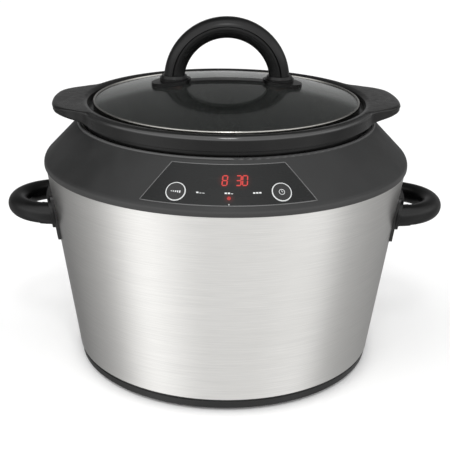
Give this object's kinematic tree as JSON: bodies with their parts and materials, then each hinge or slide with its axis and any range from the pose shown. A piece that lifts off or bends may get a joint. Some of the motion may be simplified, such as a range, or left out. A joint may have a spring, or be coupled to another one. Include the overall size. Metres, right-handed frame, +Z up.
{
  "type": "slow cooker",
  "caption": "Round countertop slow cooker with a steel casing, a collar with keys and a display, side handles, a lift-out crock and a lift-off glass lid.",
  "frame": {"origin": "on the surface that the cooker stands on, under the middle of its outer box", "axes": "+Z up; the controls face -Y; the side handles stand out along +X and -X"},
  "size_m": [0.3546, 0.2902, 0.277],
  "materials": {
    "black_plastic": "satin moulded black plastic",
    "charcoal_plastic": "fine textured charcoal plastic",
    "casing_steel": "brushed around the body, satin",
    "plain_steel": "pressed zinc-plated sheet",
    "screw_steel": "bright plated",
    "rim_steel": "polished band",
    "well_aluminium": "spun aluminium, dull",
    "stoneware": "satin black glaze",
    "smoked_glass": "tempered, clear with a grey cast",
    "panel_gloss": "glossy dark overlay",
    "key_gloss": "glossy dark cap with a white ring",
    "rubber": "soft black rubber",
    "silicone": "heat-proof silicone",
    "circuit_board": "green solder mask",
    "component": "moulded component bodies",
    "wool": "glass-fibre blanket",
    "wire": "insulated wire",
    "ribbon": "flat ribbon cable",
    "lamp": "red lamp lens"
  },
  "bodies": {
    "housing": {"base_tray": "black_plastic", "rubber_feet": "rubber", "centre_stud": "screw_steel", "centre_washer": "screw_steel", "centre_nut": "screw_steel", "outer_casing": "casing_steel", "collar": "charcoal_plastic", "heating_well": "well_aluminium", "well_gasket": "silicone", "heater_band": "plain_steel", "insulation_blanket": "wool", "heat_deflector": "well_aluminium", "sensor_probe": "well_aluminium", "sensor_bracket": "plain_steel", "thermal_fuse": "screw_steel", "fuse_clip": "plain_steel", "power_board": "circuit_board", "power_parts": "component", "terminal_block": "component", "supply_jumpers": "wire", "heater_leads": "wire", "control_ribbon": "ribbon", "display_board": "circuit_board", "key_boards": "circuit_board", "tact_switches": "component", "board_screws": "screw_steel", "display_module": "component", "lamps": "lamp", "control_panel": "panel_gloss", "handle_left": "black_plastic", "handle_right": "black_plastic", "handle_plate_left": "black_plastic", "handle_plate_right": "black_plastic", "backing_plates": "plain_steel", "handle_screws": "screw_steel", "cord_gland": "rubber", "gland_nut": "black_plastic"},
    "select_key": {"select_key": "key_gloss"},
    "time_key": {"time_key": "key_gloss"},
    "crock": {"crock": "stoneware"},
    "lid": {"lid_glass": "smoked_glass", "lid_rim": "rim_steel", "lid_strip": "black_plastic", "lid_foot_collars": "black_plastic", "lid_handle": "black_plastic", "lid_washers": "silicone", "lid_screws": "screw_steel"}
  },
  "joints": [
    {"name": "crock_lift", "type": "slide", "parent": "housing", "child": "crock", "axis": [0, 0, 1], "range_m": [0, 0.17]},
    {"name": "lid_lift", "type": "slide", "parent": "crock", "child": "lid", "axis": [0, 0, 1], "range_m": [0, 0.12]},
    {"name": "select_press", "type": "slide", "parent": "housing", "child": "select_key", "axis": [0.1918, 0.6917, -0.6963], "range_m": [0, 0.0005], "stiffness_N_per_m": 1500},
    {"name": "time_press", "type": "slide", "parent": "housing", "child": "time_key", "axis": [-0.1918, 0.6917, -0.6963], "range_m": [0, 0.0005], "stiffness_N_per_m": 1500}
  ]
}
